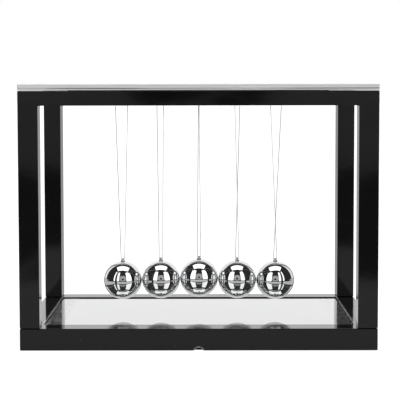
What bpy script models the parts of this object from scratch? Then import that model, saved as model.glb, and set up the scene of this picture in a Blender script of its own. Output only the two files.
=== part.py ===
"""A five-ball Newton's cradle: two glossy arches on a mirrored base, and five steel balls,
each hung on one strand that runs from the front rail through an eye to the rear rail.

Metres, +Z up. X runs along the row of balls, the front is -Y, and the origin is on the
standing surface, under the middle ball.
"""

import math

import bmesh
import bpy

MM = 0.001

# Overall sizes.
WIDTH = 175.0 * MM
DEPTH = 123.0 * MM
HEIGHT = 130.4 * MM

# Clearances.
GAP = 0.3 * MM
STRAND_GAP = 0.1 * MM

# Base.
BASE_TOP = 11.3 * MM
SKIRT_LIFT = 0.5 * MM
SKIRT_WALL = 2.4 * MM
WEB = 2.0 * MM
RIM_ROOF = 2.0 * MM
SIDE_RIM = 10.2 * MM
BASE_EDGE = 0.4 * MM
NOTCH_RADIUS = 2.5 * MM
NOTCH_RISE = 1.5 * MM

# Mirror plate and the tapes that hold it.
MIRROR_DROP = 0.4 * MM
MIRROR_THICK = 3.0 * MM
MIRROR_BEVEL = 0.45 * MM
TAPE_WIDTH = 12.0 * MM
TAPE_LENGTH = 80.0 * MM
TAPE_THICK = 0.6 * MM
TAPE_OFFSET = 50.0 * MM

# Bottom cover, pads and screws.
COVER_LIFT = 0.4 * MM
COVER_THICK = 2.0 * MM
PAD_RADIUS = 5.0 * MM
PAD_THICK = 1.5 * MM
PAD_INSET_X = 16.5 * MM
PAD_INSET_Y = 18.0 * MM
COVER_SCREW_X = 60.0 * MM
COVER_SCREW_LENGTH = 7.0 * MM
COVER_SCREW_RADIUS = 1.0 * MM
COVER_HEAD_RADIUS = 2.2 * MM
COVER_HEAD_HEIGHT = 1.3 * MM
ARCH_SCREW_LENGTH = 14.0 * MM
ARCH_SCREW_RADIUS = 1.45 * MM
ARCH_HEAD_RADIUS = 3.0 * MM
ARCH_HEAD_HEIGHT = 2.1 * MM
ARCH_HEAD_SEAT = 6.6 * MM
BOSS_HALF = 6.0 * MM
SLOT_WIDTH = 0.6 * MM
SLOT_DEPTH = 0.9 * MM

# Arches and their caps.
ARCH_DEPTH = 12.8 * MM
POST_WIDTH = 9.8 * MM
DRAFT = 0.25 * MM
RAIL_HEIGHT = 10.4 * MM
ARCH_EDGE = 0.35 * MM
CAP_HEIGHT = 2.9 * MM
CAP_LIP = 0.7 * MM
CAP_GROOVE_HEIGHT = 0.3 * MM
CAP_GROOVE_DEPTH = 0.25 * MM
CAP_EDGE = 0.3 * MM
CHANNEL_WIDTH = 5.0 * MM
CHANNEL_DEPTH = 3.8 * MM
CHANNEL_END = 14.0 * MM
TONGUE_DEPTH = 1.4 * MM

# Balls, eyes and strands. Each ball hangs this much above the lowest, left to right.
BALL_RADIUS = 10.05 * MM
BALL_GAP = 0.1 * MM
BALL_OVER_BASE = 6.0 * MM
HANG_LIFTS = (0.0, 0.4 * MM, 1.2 * MM, 0.4 * MM, 0.0)
BALL_HOLE_RADIUS = 0.75 * MM
BALL_HOLE_DEPTH = 4.0 * MM
EYE_RADIUS = 0.65 * MM
EYE_THICK = 1.2 * MM
EYE_HOLE_RADIUS = 0.35 * MM
EYE_WALL = 0.1 * MM
EYE_SEAT_GAP = 0.1 * MM
EYE_COLLAR_RADIUS = 1.2 * MM
EYE_COLLAR_HEIGHT = 0.5 * MM
EYE_NECK_RADIUS = 0.42 * MM
EYE_NECK_LENGTH = 3.4 * MM
STRAND_RADIUS = 0.2 * MM
STRAND_BEND = 0.5 * MM
STRAND_HOLE_RADIUS = 0.55 * MM
STRAND_HOLE_FLARE = 0.85 * MM
FLARE_DEPTH = 0.5 * MM
KNOT_RADIUS = 0.95 * MM

# Heights and places that follow from the sizes.
HALF_X = WIDTH / 2
HALF_Y = DEPTH / 2
ANCHOR_Y = HALF_Y - ARCH_DEPTH / 2
POCKET_X = HALF_X - SIDE_RIM
POCKET_Y = HALF_Y - ARCH_DEPTH
MIRROR_TOP = BASE_TOP - MIRROR_DROP
MIRROR_BOTTOM = MIRROR_TOP - MIRROR_THICK
TAPE_TOP = MIRROR_BOTTOM - GAP
TAPE_BOTTOM = TAPE_TOP - TAPE_THICK
POCKET_FLOOR = TAPE_BOTTOM - GAP
WEB_BOTTOM = POCKET_FLOOR - WEB
COVER_BOTTOM = SKIRT_LIFT + COVER_LIFT
COVER_TOP = COVER_BOTTOM + COVER_THICK
COVER_SEAT = COVER_TOP + GAP
RAIL_UNDERSIDE = HEIGHT - RAIL_HEIGHT
CAP_BOTTOM = HEIGHT - CAP_HEIGHT
ARCH_TOP = CAP_BOTTOM - GAP
ARCH_FOOT = BASE_TOP + GAP
CHANNEL_FLOOR = ARCH_TOP - CHANNEL_DEPTH
CHANNEL_HALF = HALF_X - POST_WIDTH - CHANNEL_END
SCREW_X = HALF_X - POST_WIDTH / 2
BALL_Z = BASE_TOP + BALL_OVER_BASE + BALL_RADIUS
PITCH = 2 * BALL_RADIUS + BALL_GAP
AXIS_Z = RAIL_UNDERSIDE - GAP
EYE_COLLAR_TOP = BALL_Z + BALL_RADIUS + EYE_SEAT_GAP + EYE_COLLAR_HEIGHT
EYE_Z = EYE_COLLAR_TOP + EYE_WALL + EYE_HOLE_RADIUS
LONG = 10.0 * MM

RING_SIDES = 24
BALL_RINGS = 12
KNOT_RINGS = 4
SMALL_SIDES = 10


def clear_scene():
    for obj in list(bpy.data.objects):
        bpy.data.objects.remove(obj, do_unlink=True)


def finish(name, colour, roughness, metallic=0.0, coat=0.0, transmission=0.0):
    """A plain Principled material in one colour."""
    material = bpy.data.materials.new(name)
    material.use_nodes = True
    shader = material.node_tree.nodes["Principled BSDF"]
    shader.inputs["Base Color"].default_value = (*colour, 1.0)
    shader.inputs["Roughness"].default_value = roughness
    shader.inputs["Metallic"].default_value = metallic
    shader.inputs["Coat Weight"].default_value = coat
    shader.inputs["Transmission Weight"].default_value = transmission
    return material


def add_object(name, data, material=None, parent=None, place=(0.0, 0.0, 0.0)):
    obj = bpy.data.objects.new(name, data)
    bpy.context.scene.collection.objects.link(obj)
    obj.parent = parent
    obj.location = place
    if material is not None:
        data.materials.append(material)
    return obj


def mesh_of(name, build):
    """A mesh with outward faces, from a function that fills a bmesh."""
    shape = bmesh.new()
    build(shape)
    bmesh.ops.recalc_face_normals(shape, faces=shape.faces)
    mesh = bpy.data.meshes.new(name)
    shape.to_mesh(mesh)
    shape.free()
    return mesh


def loft(rings):
    """A function that skins a list of equal rings of points and closes both ends."""

    def build(shape):
        made = [[shape.verts.new(point) for point in ring] for ring in rings]
        for lower, upper in zip(made, made[1:]):
            for i in range(len(lower)):
                j = (i + 1) % len(lower)
                shape.faces.new((lower[i], lower[j], upper[j], upper[i]))
        shape.faces.new(list(reversed(made[0])))
        shape.faces.new(made[-1])

    return build


def block(name, low, high):
    """The mesh of an upright box between two corners."""
    (x0, y0, z0), (x1, y1, z1) = low, high
    rings = [[(x0, y0, z), (x1, y0, z), (x1, y1, z), (x0, y1, z)] for z in (z0, z1)]
    return mesh_of(name, loft(rings))


def turned(name, profile, sides):
    """The mesh of a (radius, height) profile turned round Z; radius 0 is a point on the axis."""

    def build(shape):
        rings = []
        for radius, height in profile:
            if radius == 0:
                rings.append([shape.verts.new((0, 0, height))])
                continue
            turn = [2 * math.pi * k / sides for k in range(sides)]
            rings.append(
                [shape.verts.new((radius * math.cos(a), radius * math.sin(a), height)) for a in turn]
            )
        for lower, upper in zip(rings, rings[1:]):
            for k in range(sides):
                n = (k + 1) % sides
                if len(lower) == 1:
                    shape.faces.new((lower[0], upper[n], upper[k]))
                elif len(upper) == 1:
                    shape.faces.new((lower[k], lower[n], upper[0]))
                else:
                    shape.faces.new((lower[k], lower[n], upper[n], upper[k]))

    mesh = mesh_of(name, build)
    mesh.shade_smooth()
    mesh.set_sharp_from_angle(angle=math.radians(40))
    return mesh


def arc(radius, centre_z, start, end, steps):
    """(radius, height) points on a circle about the axis, from one angle off -Z to another."""
    angles = [start + (end - start) * k / steps for k in range(steps + 1)]
    return [(radius * math.sin(a), centre_z - radius * math.cos(a)) for a in angles]


def rod(name, radius, low, high, sides=SMALL_SIDES):
    return turned(name, [(0, low), (radius, low), (radius, high), (0, high)], sides)


def cutter(name, data, parent=None, place=(0.0, 0.0, 0.0)):
    """A helper that only a Boolean reads."""
    obj = add_object(name, data, parent=parent, place=place)
    obj.hide_render = True
    obj.display_type = "WIRE"
    return obj


def boolean(obj, tool, operation="DIFFERENCE"):
    modifier = obj.modifiers.new(tool.name, "BOOLEAN")
    modifier.operation = operation
    modifier.object = tool
    modifier.solver = "EXACT"


def round_edges(obj, width, segments=2):
    modifier = obj.modifiers.new("rounded_edges", "BEVEL")
    modifier.width = width
    modifier.segments = segments
    modifier.limit_method = "ANGLE"
    modifier.angle_limit = math.radians(30)


def corners(x, y):
    return [("front_left", -x, -y), ("front_right", x, -y), ("rear_left", -x, y), ("rear_right", x, y)]


def ball_places():
    """(number, x) of each ball, left to right."""
    count = len(HANG_LIFTS)
    return [(i + 1, (i - (count - 1) / 2) * PITCH) for i in range(count)]


def base_frame(material):
    """The moulded tray: a pocket for the mirror on top, a hollow below, and screw blocks."""
    low = (-HALF_X, -HALF_Y, SKIRT_LIFT)
    obj = add_object("base_frame", block("base_frame", low, (HALF_X, HALF_Y, BASE_TOP)), material)
    round_edges(obj, BASE_EDGE)
    pocket = block(
        "mirror_pocket",
        (-POCKET_X, -POCKET_Y, POCKET_FLOOR),
        (POCKET_X, POCKET_Y, BASE_TOP + LONG),
    )
    boolean(obj, cutter("mirror_pocket", pocket))
    inner_x, inner_y = HALF_X - SKIRT_WALL, HALF_Y - SKIRT_WALL
    hollow = block(
        "underside_hollow",
        (-inner_x, -inner_y, SKIRT_LIFT - LONG),
        (inner_x, inner_y, COVER_SEAT),
    )
    boolean(obj, cutter("underside_hollow", hollow))
    centre = block(
        "centre_hollow",
        (-POCKET_X, -POCKET_Y, SKIRT_LIFT - LONG),
        (POCKET_X, POCKET_Y, WEB_BOTTOM),
    )
    boolean(obj, cutter("centre_hollow", centre))
    roof = BASE_TOP - RIM_ROOF
    rib = COVER_SCREW_X - BOSS_HALF
    for side, sign in (("front", -1), ("rear", 1)):
        edges = sorted((sign * (POCKET_Y + SKIRT_WALL), sign * inner_y))
        data = block(f"{side}_channel", (-rib, edges[0], SKIRT_LIFT - LONG), (rib, edges[1], roof))
        boolean(obj, cutter(f"{side}_channel", data))
    for side, sign in (("left", -1), ("right", 1)):
        edges = sorted((sign * (POCKET_X + SKIRT_WALL), sign * inner_x))
        run = POCKET_Y - SKIRT_WALL
        data = block(f"{side}_channel", (edges[0], -run, SKIRT_LIFT - LONG), (edges[1], run, roof))
        boolean(obj, cutter(f"{side}_channel", data))
    for corner, x, y in corners(SCREW_X, ANCHOR_Y):
        seat, reach = ARCH_HEAD_RADIUS + GAP, ARCH_SCREW_RADIUS + GAP
        profile = [
            (0, SKIRT_LIFT - LONG),
            (seat, SKIRT_LIFT - LONG),
            (seat, ARCH_HEAD_SEAT),
            (reach, ARCH_HEAD_SEAT),
            (reach, BASE_TOP + LONG),
            (0, BASE_TOP + LONG),
        ]
        data = turned(f"arch_screw_hole_{corner}", profile, SMALL_SIDES)
        boolean(obj, cutter(data.name, data, place=(x, y, 0)))
    for corner, x, y in corners(COVER_SCREW_X, ANCHOR_Y):
        top = COVER_BOTTOM + COVER_SCREW_LENGTH + GAP
        data = rod(f"cover_screw_hole_{corner}", COVER_SCREW_RADIUS + GAP, SKIRT_LIFT - LONG, top)
        boolean(obj, cutter(data.name, data, place=(x, y, 0)))
    data = rod("pry_notch", NOTCH_RADIUS, -SKIRT_WALL, SKIRT_WALL, sides=RING_SIDES)
    notch = cutter("pry_notch", data, place=(0, -HALF_Y, SKIRT_LIFT + NOTCH_RISE - NOTCH_RADIUS))
    notch.rotation_euler = (math.pi / 2, 0, 0)
    boolean(obj, notch)
    return obj


def mirror_plate(material):
    """A thick mirror whose upper edges are bevelled."""
    x, y = POCKET_X - GAP, POCKET_Y - GAP
    levels = [(0, MIRROR_BOTTOM), (0, MIRROR_TOP - MIRROR_BEVEL), (MIRROR_BEVEL, MIRROR_TOP)]
    rings = [
        [(-x + i, -y + i, z), (x - i, -y + i, z), (x - i, y - i, z), (-x + i, y - i, z)]
        for i, z in levels
    ]
    return add_object("mirror_plate", mesh_of("mirror_plate", loft(rings)), material)


def mirror_tapes(material):
    for side, sign in (("left", -1), ("right", 1)):
        half, run = TAPE_WIDTH / 2, TAPE_LENGTH / 2
        data = block(f"mirror_tape_{side}", (-half, -run, TAPE_BOTTOM), (half, run, TAPE_TOP))
        add_object(data.name, data, material, place=(sign * TAPE_OFFSET, 0, 0))


def bottom_cover(material):
    """The plate that closes the underside, with a seat for each pad and each screw."""
    x, y = HALF_X - SKIRT_WALL - GAP, HALF_Y - SKIRT_WALL - GAP
    obj = add_object(
        "bottom_cover", block("bottom_cover", (-x, -y, COVER_BOTTOM), (x, y, COVER_TOP)), material
    )
    for corner, px, py in corners(HALF_X - PAD_INSET_X, HALF_Y - PAD_INSET_Y):
        data = rod(f"pad_seat_{corner}", PAD_RADIUS + GAP, -LONG, PAD_THICK + GAP, sides=RING_SIDES)
        boolean(obj, cutter(data.name, data, place=(px, py, 0)))
    for corner, sx, sy in corners(COVER_SCREW_X, ANCHOR_Y):
        head, shank = COVER_HEAD_RADIUS + GAP, COVER_SCREW_RADIUS + GAP
        profile = [
            (0, COVER_BOTTOM - LONG),
            (head, COVER_BOTTOM - LONG),
            (head, COVER_BOTTOM + GAP),
            (shank, COVER_BOTTOM + COVER_HEAD_HEIGHT),
            (shank, COVER_TOP + LONG),
            (0, COVER_TOP + LONG),
        ]
        data = turned(f"cover_screw_seat_{corner}", profile, SMALL_SIDES)
        boolean(obj, cutter(data.name, data, place=(sx, sy, 0)))


def foot_pads(material):
    for corner, x, y in corners(HALF_X - PAD_INSET_X, HALF_Y - PAD_INSET_Y):
        data = rod(f"foot_pad_{corner}", PAD_RADIUS, 0, PAD_THICK, sides=RING_SIDES)
        obj = add_object(data.name, data, material, place=(x, y, 0))
        round_edges(obj, 0.25 * MM, segments=1)


def cut_slot(obj, head_radius, low):
    """Cuts a straight driver slot across the underside of a screw's head."""
    half = SLOT_WIDTH / 2
    data = block(
        f"{obj.name}_slot",
        (-half, -head_radius - GAP, low - SLOT_DEPTH),
        (half, head_radius + GAP, low + SLOT_DEPTH),
    )
    boolean(obj, cutter(data.name, data, place=obj.location))


def arch_screws(material):
    """Pan-head screws that come up through the base into the feet of the posts."""
    top = ARCH_HEAD_SEAT - GAP
    low = top - ARCH_HEAD_HEIGHT
    profile = [
        (0, low),
        (ARCH_HEAD_RADIUS * 0.8, low),
        (ARCH_HEAD_RADIUS, low + ARCH_HEAD_HEIGHT * 0.35),
        (ARCH_HEAD_RADIUS, top),
        (ARCH_SCREW_RADIUS, top),
        (ARCH_SCREW_RADIUS, top + ARCH_SCREW_LENGTH - ARCH_SCREW_RADIUS),
        (0, top + ARCH_SCREW_LENGTH),
    ]
    for corner, x, y in corners(SCREW_X, ANCHOR_Y):
        data = turned(f"arch_screw_{corner}", profile, SMALL_SIDES)
        obj = add_object(data.name, data, material, place=(x, y, 0))
        cut_slot(obj, ARCH_HEAD_RADIUS, low)


def cover_screws(material):
    """Countersunk screws that hold the bottom cover."""
    low = COVER_BOTTOM
    profile = [
        (0, low),
        (COVER_HEAD_RADIUS, low),
        (COVER_SCREW_RADIUS, low + COVER_HEAD_HEIGHT - GAP),
        (COVER_SCREW_RADIUS, low + COVER_SCREW_LENGTH - COVER_SCREW_RADIUS),
        (0, low + COVER_SCREW_LENGTH),
    ]
    for corner, x, y in corners(COVER_SCREW_X, ANCHOR_Y):
        data = turned(f"cover_screw_{corner}", profile, SMALL_SIDES)
        obj = add_object(data.name, data, material, place=(x, y, 0))
        cut_slot(obj, COVER_HEAD_RADIUS, low)


def arch(side, sign, material):
    """An upside-down U, drafted so that both posts and the opening ease towards the middle."""

    def outline(y, ease):
        outer, inner = HALF_X - ease, HALF_X - POST_WIDTH + ease
        points = [
            (-outer, ARCH_FOOT),
            (-outer, ARCH_TOP),
            (outer, ARCH_TOP),
            (outer, ARCH_FOOT),
            (inner, ARCH_FOOT),
            (inner, RAIL_UNDERSIDE),
            (-inner, RAIL_UNDERSIDE),
            (-inner, ARCH_FOOT),
        ]
        return [(x, y, z) for x, z in points]

    rings = [outline(sign * HALF_Y, 0), outline(sign * POCKET_Y, DRAFT)]
    obj = add_object(f"{side}_arch", mesh_of(f"{side}_arch", loft(rings)), material)
    round_edges(obj, ARCH_EDGE)
    middle = sign * ANCHOR_Y
    half = CHANNEL_WIDTH / 2
    data = block(
        f"{side}_knot_channel",
        (-CHANNEL_HALF, middle - half, CHANNEL_FLOOR),
        (CHANNEL_HALF, middle + half, ARCH_TOP + LONG),
    )
    boolean(obj, cutter(data.name, data))
    for number, x in ball_places():
        flare, bore = STRAND_HOLE_FLARE, STRAND_HOLE_RADIUS
        profile = [
            (0, RAIL_UNDERSIDE - FLARE_DEPTH),
            (flare + (flare - bore), RAIL_UNDERSIDE - FLARE_DEPTH),
            (bore, RAIL_UNDERSIDE + FLARE_DEPTH),
            (bore, CHANNEL_FLOOR + CHANNEL_DEPTH / 2),
            (0, CHANNEL_FLOOR + CHANNEL_DEPTH / 2),
        ]
        data = turned(f"{side}_strand_hole_{number}", profile, SMALL_SIDES)
        boolean(obj, cutter(data.name, data, place=(x, middle, 0)))
    for post, post_sign in (("left", -1), ("right", 1)):
        top = ARCH_HEAD_SEAT + ARCH_SCREW_LENGTH
        data = rod(f"{side}_{post}_pilot", ARCH_SCREW_RADIUS + GAP, ARCH_FOOT - LONG, top)
        boolean(obj, cutter(data.name, data, place=(post_sign * SCREW_X, middle, 0)))


def rail_cap(side, sign, material):
    """The strip on top of a rail: a lip, a thin shadow groove, the body, and a tongue below."""
    near, far = sorted((sign * HALF_Y, sign * POCKET_Y))
    groove_low = CAP_BOTTOM + CAP_LIP
    groove_high = groove_low + CAP_GROOVE_HEIGHT
    step = CAP_GROOVE_DEPTH / 4
    levels = [
        (CAP_EDGE / 2, CAP_BOTTOM),
        (0, CAP_BOTTOM + CAP_EDGE / 2),
        (0, groove_low),
        (CAP_GROOVE_DEPTH, groove_low + step),
        (CAP_GROOVE_DEPTH, groove_high - step),
        (0, groove_high),
        (0, HEIGHT - CAP_EDGE),
        (CAP_EDGE, HEIGHT),
    ]
    rings = [
        [
            (-HALF_X + i, near + i, z),
            (HALF_X - i, near + i, z),
            (HALF_X - i, far - i, z),
            (-HALF_X + i, far - i, z),
        ]
        for i, z in levels
    ]
    obj = add_object(f"{side}_rail_cap", mesh_of(f"{side}_rail_cap", loft(rings)), material)
    run, half = CHANNEL_HALF - GAP, CHANNEL_WIDTH / 2 - GAP
    middle = sign * ANCHOR_Y
    data = block(
        f"{side}_cap_tongue",
        (-run, middle - half, CAP_BOTTOM - TONGUE_DEPTH),
        (run, middle + half, CAP_BOTTOM + CAP_EDGE),
    )
    boolean(obj, cutter(data.name, data), "UNION")


def ball_mesh():
    """A sphere with a drilled hole at its top, about its own centre."""
    edge = math.pi - math.asin(BALL_HOLE_RADIUS / BALL_RADIUS)
    surface = arc(BALL_RADIUS, 0, 0, edge, BALL_RINGS)
    bottom = BALL_RADIUS - BALL_HOLE_DEPTH
    surface[0] = (0, -BALL_RADIUS)
    return turned("ball", surface + [(BALL_HOLE_RADIUS, bottom), (0, bottom)], RING_SIDES)


def eye_mesh():
    """The eye's flat tab, round on top and thin along X, about the centre of its hole. Its foot
    sits half way down the collar."""
    foot = EYE_Z - EYE_COLLAR_TOP + EYE_COLLAR_HEIGHT / 2
    turn = [math.pi * i / RING_SIDES for i in range(RING_SIDES + 1)]
    outline = [(EYE_RADIUS * math.cos(a), EYE_RADIUS * math.sin(a)) for a in turn]
    outline += [(-EYE_RADIUS, -foot), (EYE_RADIUS, -foot)]
    rings = [[(x, y, z) for y, z in outline] for x in (-EYE_THICK / 2, EYE_THICK / 2)]
    return mesh_of("eye", loft(rings))


def eye_stem(name):
    """The collar on the ball and the neck that goes down into it, about the same centre."""
    top = EYE_COLLAR_TOP - EYE_Z
    seat = top - EYE_COLLAR_HEIGHT
    low = seat - EYE_NECK_LENGTH
    profile = [
        (0, low),
        (EYE_NECK_RADIUS, low),
        (EYE_NECK_RADIUS, seat),
        (EYE_COLLAR_RADIUS, seat),
        (EYE_COLLAR_RADIUS, top),
        (0, top),
    ]
    return turned(name, profile, RING_SIDES)


def strand_points(lift):
    """(x, y, z) from the front anchor, through the eye from left to right, to the rear anchor.

    Each bend is a quarter circle between the hole's line and the straight run beyond it.
    """
    hole_z = EYE_Z + lift - AXIS_Z
    reach = math.hypot(ANCHOR_Y, hole_z)
    out = EYE_THICK / 2 + STRAND_GAP + STRAND_RADIUS
    steps = 4
    rear = []
    for k in range(steps + 1):
        t = math.pi / 2 * k / steps
        share = STRAND_BEND * (1 - math.cos(t)) / reach
        rear.append((out - STRAND_BEND * (1 - math.sin(t)), share * ANCHOR_Y, hole_z * (1 - share)))
    rear.append((0.0, ANCHOR_Y, 0.0))
    return [(-x, -y, z) for x, y, z in reversed(rear)] + rear


def strand_curve(name, lift):
    curve = bpy.data.curves.new(name, "CURVE")
    curve.dimensions = "3D"
    curve.bevel_depth = STRAND_RADIUS
    curve.bevel_resolution = 2
    curve.use_fill_caps = True
    points = strand_points(lift)
    spline = curve.splines.new("POLY")
    spline.points.add(len(points) - 1)
    for point, place in zip(spline.points, points):
        point.co = (*place, 1)
    return curve


def hung_balls(steel, wire, nylon):
    """Each ball with its eye and strand, under an empty on the line that it swings about."""
    for (number, x), lift in zip(ball_places(), HANG_LIFTS):
        axis = add_object(f"ball_{number}_axis", None, place=(x, 0, AXIS_Z))
        add_object(f"ball_{number}", ball_mesh(), steel, axis, (0, 0, BALL_Z + lift - AXIS_Z))
        eye_place = (0, 0, EYE_Z + lift - AXIS_Z)
        eye = add_object(f"eye_{number}", eye_mesh(), wire, axis, eye_place)
        stem = eye_stem(f"eye_{number}_stem")
        boolean(eye, cutter(stem.name, stem, axis, eye_place), "UNION")
        hole = rod(f"eye_{number}_hole", EYE_HOLE_RADIUS, -EYE_THICK, EYE_THICK)
        bore = cutter(hole.name, hole, axis, eye_place)
        bore.rotation_euler = (0, math.pi / 2, 0)
        boolean(eye, bore)
        add_object(f"strand_{number}", strand_curve(f"strand_{number}", lift), nylon, axis)


def strand_knots(nylon):
    """The still end of each strand: a short run up through the rail and the knot above it."""
    low = RAIL_UNDERSIDE
    centre = CHANNEL_FLOOR + GAP + KNOT_RADIUS
    start = math.asin(STRAND_RADIUS / KNOT_RADIUS)
    profile = [(0, low), (STRAND_RADIUS, low)] + arc(KNOT_RADIUS, centre, start, math.pi, KNOT_RINGS)
    profile[-1] = (0, centre + KNOT_RADIUS)
    for side, sign in (("front", -1), ("rear", 1)):
        for number, x in ball_places():
            data = turned(f"knot_{side}_{number}", profile, SMALL_SIDES)
            add_object(data.name, data, nylon, place=(x, sign * ANCHOR_Y, 0))


def main():
    clear_scene()
    gloss = finish("gloss_black_plastic", (0.008, 0.008, 0.009), 0.12, coat=0.4)
    matte = finish("matte_black_plastic", (0.012, 0.012, 0.012), 0.55)
    silver = finish("satin_silver", (0.55, 0.56, 0.57), 0.3, metallic=1.0)
    glass = finish("mirror_glass", (0.78, 0.8, 0.81), 0.03, metallic=1.0)
    foam = finish("foam_tape", (0.8, 0.8, 0.78), 0.9)
    rubber = finish("pad_rubber", (0.015, 0.015, 0.016), 0.8)
    zinc = finish("screw_steel", (0.5, 0.5, 0.5), 0.35, metallic=1.0)
    steel = finish("polished_steel", (0.72, 0.73, 0.75), 0.04, metallic=1.0)
    wire = finish("eye_steel", (0.6, 0.6, 0.62), 0.2, metallic=1.0)
    nylon = finish("nylon_line", (0.75, 0.77, 0.78), 0.35, transmission=0.3)
    base_frame(gloss)
    mirror_plate(glass)
    mirror_tapes(foam)
    bottom_cover(matte)
    foot_pads(rubber)
    arch_screws(zinc)
    cover_screws(zinc)
    for side, sign in (("front", -1), ("rear", 1)):
        arch(side, sign, gloss)
        rail_cap(side, sign, silver)
    hung_balls(steel, wire, nylon)
    strand_knots(nylon)


main()
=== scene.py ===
"""Looks of a five-ball Newton's cradle: glossy black arches and base, a mirror floor, satin
strips on the rails, and polished balls hung on clear line.

Metres, +Z up, X along the row of balls, the front is -Y.
"""

import math

import bmesh
import bpy
import numpy as np
from mathutils import Matrix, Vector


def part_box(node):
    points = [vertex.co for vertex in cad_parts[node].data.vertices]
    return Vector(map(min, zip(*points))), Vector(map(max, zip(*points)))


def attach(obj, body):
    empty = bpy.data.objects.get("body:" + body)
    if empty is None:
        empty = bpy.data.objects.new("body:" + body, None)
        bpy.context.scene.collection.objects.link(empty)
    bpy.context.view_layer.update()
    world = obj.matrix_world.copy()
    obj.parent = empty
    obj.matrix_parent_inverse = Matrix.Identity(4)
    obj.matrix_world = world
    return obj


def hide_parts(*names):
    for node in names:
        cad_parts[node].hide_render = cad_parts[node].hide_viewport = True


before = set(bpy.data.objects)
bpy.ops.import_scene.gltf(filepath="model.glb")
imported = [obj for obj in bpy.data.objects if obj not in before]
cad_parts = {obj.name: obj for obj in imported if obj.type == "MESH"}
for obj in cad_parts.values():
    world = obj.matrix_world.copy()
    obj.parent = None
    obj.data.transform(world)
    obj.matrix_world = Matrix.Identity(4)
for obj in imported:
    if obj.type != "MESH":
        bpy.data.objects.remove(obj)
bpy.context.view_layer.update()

MM = 0.001
SEAM = 1e-7
STAND = "stand"
BALL_COUNT = 5
SIDES = (("front", -1), ("rear", 1))
CORNERS = ("front_left", "front_right", "rear_left", "rear_right")

# Sizes that no box of the frame shows.
POST_WIDTH = 9.8 * MM
DRAFT = 0.25 * MM
ARCH_EDGE = 0.35 * MM
ARCH_CORNER = 0.5 * MM
RAIL_HEIGHT = 10.4 * MM
CHANNEL_WIDTH = 5.0 * MM
CHANNEL_DEPTH = 3.8 * MM
CHANNEL_END = 14.0 * MM
CHANNEL_CORNER = 0.4 * MM
CAP_HEIGHT = 2.9 * MM
CAP_LIP = 0.7 * MM
CAP_GROOVE_HEIGHT = 0.3 * MM
CAP_GROOVE_DEPTH = 0.25 * MM
CAP_EDGE = 0.3 * MM
CAP_CORNER = 0.4 * MM
CAP_CORNER_SHRINK = 0.8
GAP = 0.3 * MM
FOOT_SEAM = 0.12 * MM
HOLE_RADIUS = 0.55 * MM
HOLE_FLARE = 0.85 * MM
FLARE_DEPTH = 0.5 * MM
MIRROR_BEVEL = 0.45 * MM
MIRROR_EDGE = 0.06 * MM
MIRROR_CORNER = 1.2 * MM
MIRROR_SAG = 0.14 * MM
MIRROR_SAG_REACH = 15.0 * MM
MIRROR_STEPS = np.array([0.45, 0.7, 1.2, 2, 3, 4.5, 6.5, 9, 12, 16, 21, 28, 40]) * MM
NOTCH_RADIUS = 2.5 * MM
NOTCH_CENTRE = -0.5 * MM
BALL_RADIUS = 10.05 * MM
BALL_HOLE_RADIUS = 0.75 * MM
BALL_HOLE_DEPTH = 4.0 * MM
BALL_HOLE_EDGE = 0.1 * MM
EYE_RADIUS = 0.65 * MM
EYE_THICK = 1.2 * MM
EYE_HOLE_RADIUS = 0.35 * MM
EYE_HOLE_FLARE = 0.08 * MM
EYE_FLARE_DEPTH = 0.1 * MM
EYE_WALL = 0.1 * MM
EYE_COLLAR_RADIUS = 1.2 * MM
EYE_COLLAR_HEIGHT = 0.5 * MM
EYE_COLLAR_DISH = 0.04 * MM
EYE_EDGE = 0.12 * MM
EYE_NECK_RADIUS = 0.42 * MM
STRAND_RADIUS = 0.2 * MM
STRAND_GAP = 0.1 * MM
STRAND_BEND = 0.5 * MM
KNOT_RADIUS = 0.95 * MM
PAD_EDGE = 0.3 * MM
PAD_GROOVE_SHARE = 0.6
PAD_GROOVE_RADIUS = 0.3 * MM
PAD_GROOVE_DEPTH = 0.25 * MM

# Painted highlights, painted shade in the strip's groove, and dust.
# A painted highlight round the notch.
NOTCH_HIGHLIGHT_RADIUS = NOTCH_RADIUS + 0.25 * MM
NOTCH_HIGHLIGHT_HALF_WIDTH = 0.1 * MM
NOTCH_HIGHLIGHT_FADE = 0.5 * MM
FRONT_Y = -50.0 * MM
# A painted highlight beside the mirror.
RIM_HIGHLIGHT_HALF_WIDTH = 0.5 * MM
RIM_HIGHLIGHT_FADE = 1.0 * MM
RIM_HIGHLIGHT_DEPTH = 0.6 * MM
# Painted shade in the strip's groove.
GROOVE_SHADE_HALF_WIDTH = 0.12 * MM
GROOVE_SHADE_FADE = 0.3 * MM
GROOVE_SHADE_LEAN = 1.5
DUST_FROM_EDGE = 12.0 * MM
DUST_FULL = 7.0 * MM
CUT_EDGE_WIDTH = 0.9 * MM
CUT_EDGE_FULL = 0.3 * MM
DUST_SIDES = 30.0 * MM
DUST_RIGHT_SHARE = 0.55
DUST_DULLING = 0.2

# The studio. The camera's angles are in degrees, its lens and sensor in millimetres.
CAMERA_PLACE = (2.547 * MM, -739.54 * MM, 122.95 * MM)
CAMERA_PITCH = 4.1025
CAMERA_YAW = -0.1534
CAMERA_ROLL = -0.0955
CAMERA_LENS = 126.165
CAMERA_SENSOR = 36.0
CLIP_START = 0.01
CLIP_END = 200.0
BACKDROP = 1.0
ROOM = 0.03
BACK_STARTS = 0.40
BACK_FULL = 0.52
WINDOW = 1.75
WINDOW_DISTANCE = 1.2
WINDOW_AZIMUTH = math.radians(39.5)
WINDOW_HALF_ANGLE = math.radians(17)
WINDOW_MIDDLE = 0.76
WINDOW_HALF_HEIGHT = 0.75
OVERHEAD = 1.75
GREY_WALL = 0.42
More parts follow.
